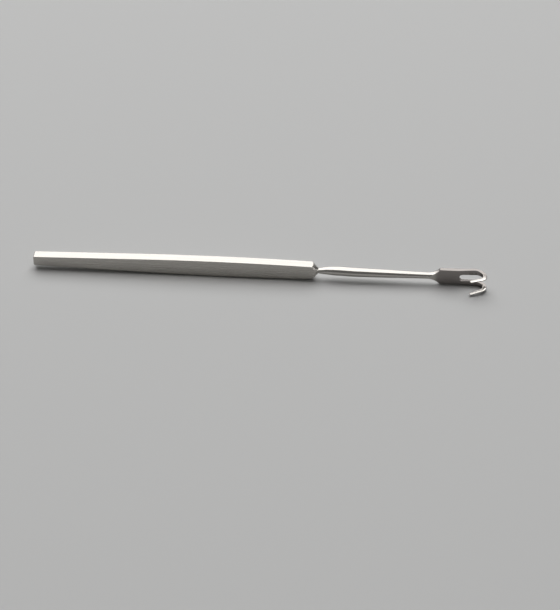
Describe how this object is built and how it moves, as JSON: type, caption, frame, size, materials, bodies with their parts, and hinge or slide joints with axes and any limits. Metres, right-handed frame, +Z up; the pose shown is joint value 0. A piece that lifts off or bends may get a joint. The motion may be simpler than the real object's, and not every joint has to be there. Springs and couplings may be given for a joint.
{
  "type": "wound retractor",
  "caption": "Slender hand-held wound retractor with a flat tapered handle, round shaft and forked end of curved blunt prongs.",
  "frame": {"origin": "bottom centre of the instrument's bounding box, on the surface it lies on", "axes": "+X along the instrument from the end of the handle to the prongs, +Z up, prongs bent towards -Y"},
  "size_m": [0.165, 0.0084, 0.0073],
  "materials": {
    "steel": "satin brushed handle with a polished shaft and fork"
  },
  "bodies": {
    "root": {"retractor": "steel"}
  },
  "joints": []
}
